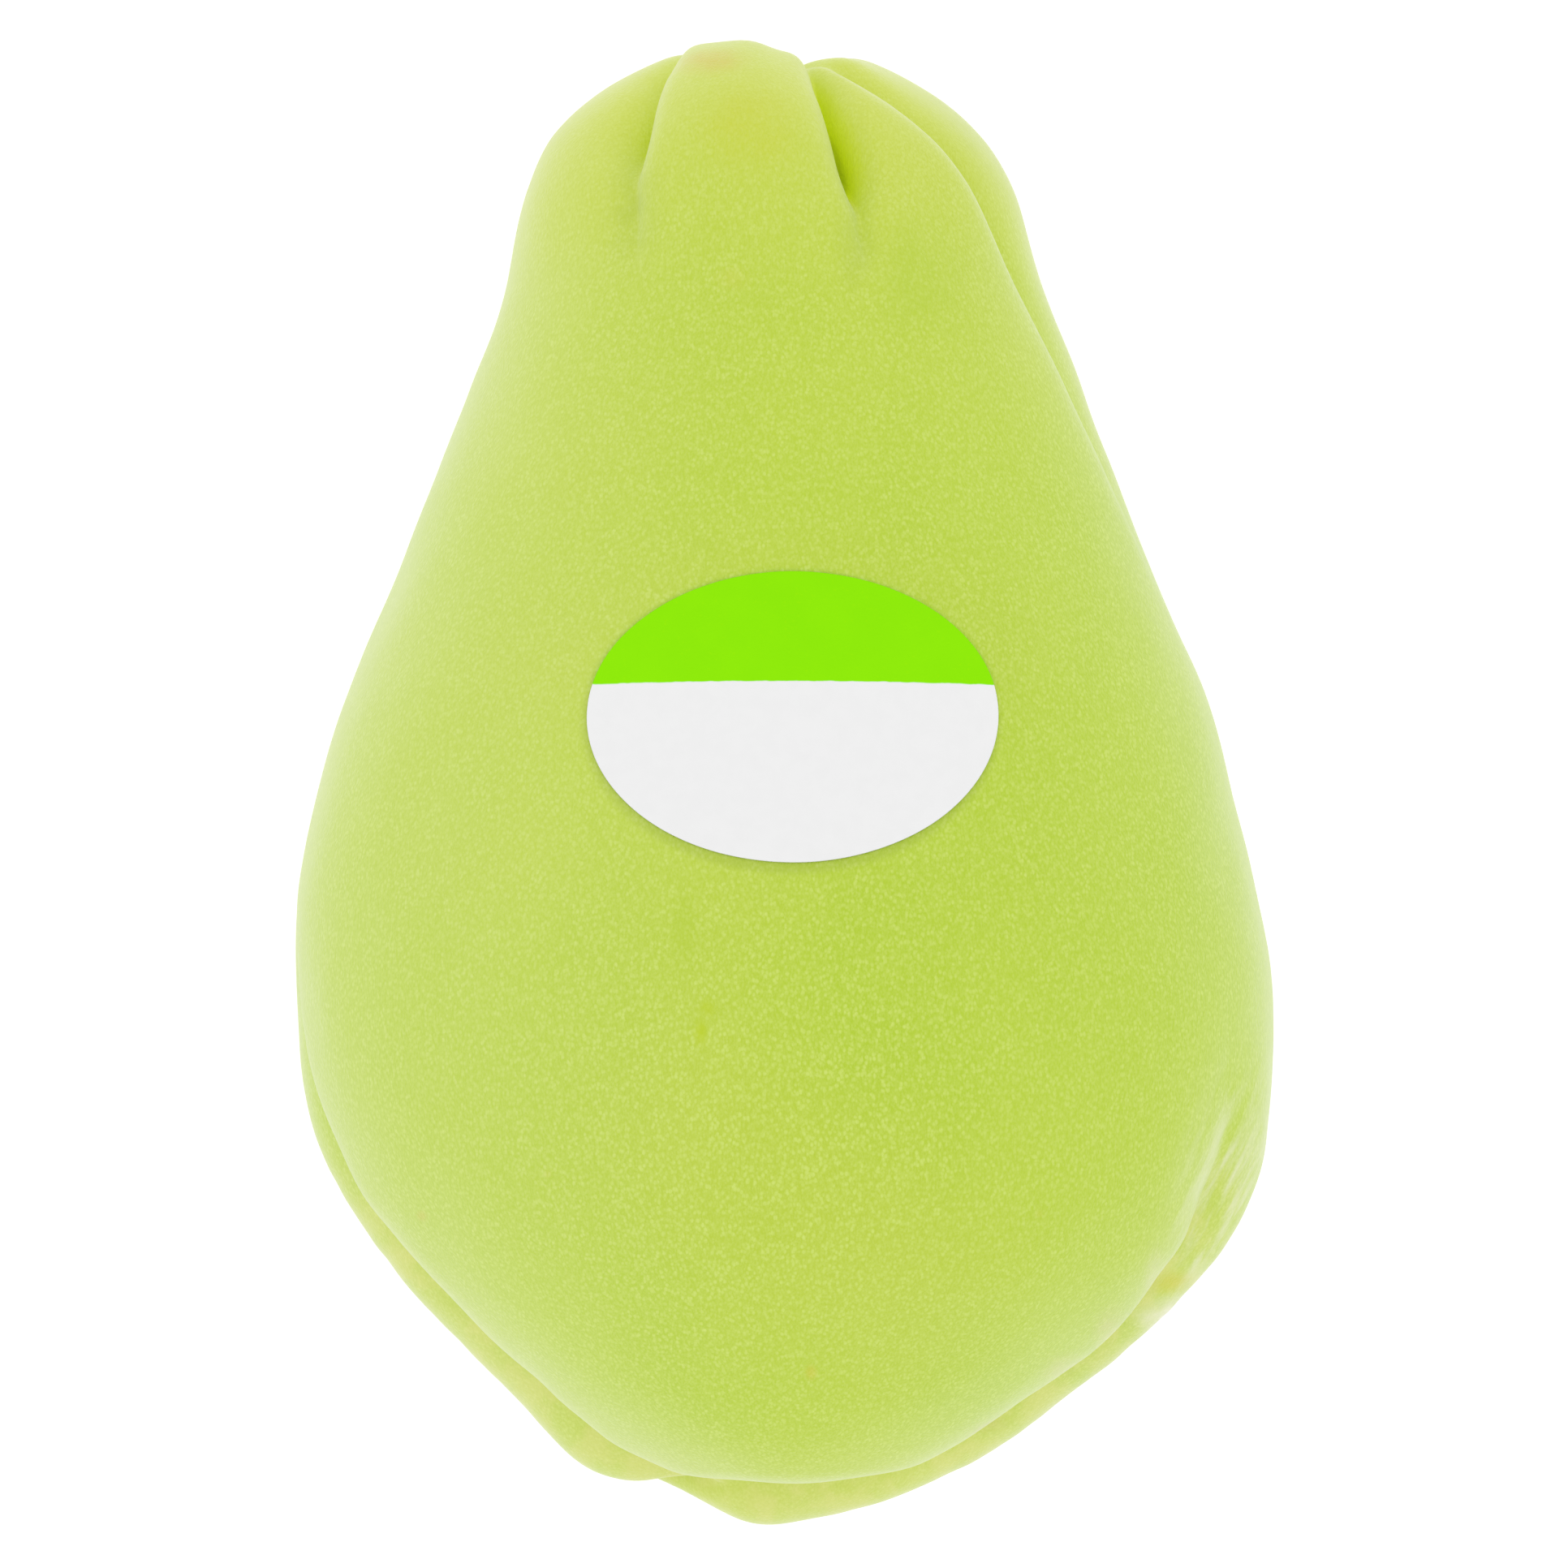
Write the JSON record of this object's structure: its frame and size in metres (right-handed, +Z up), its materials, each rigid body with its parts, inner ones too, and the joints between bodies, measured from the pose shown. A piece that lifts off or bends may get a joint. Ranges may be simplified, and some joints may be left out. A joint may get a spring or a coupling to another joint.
{
  "type": "chayote squash",
  "caption": "Pale green, pear-shaped chayote squash lying on its back, with a folded stem end, a puckered mouth and an oval paper sticker.",
  "frame": {"origin": "on the surface that the fruit lies on, under the middle of its outline seen from above", "axes": "+Y along the fruit's length, from the blossom end to the stem end; +Z up, out of the front that carries the sticker; +X to the right, seen from above with the stem end up"},
  "size_m": [0.0856, 0.13, 0.0658],
  "materials": {
    "skin": "smooth, waxy, pale yellow-green skin with fine lighter specks",
    "sticker_paper": "coated paper, white with a bright green upper band"
  },
  "bodies": {
    "root": {"fruit": "skin", "sticker": "sticker_paper"}
  },
  "joints": []
}
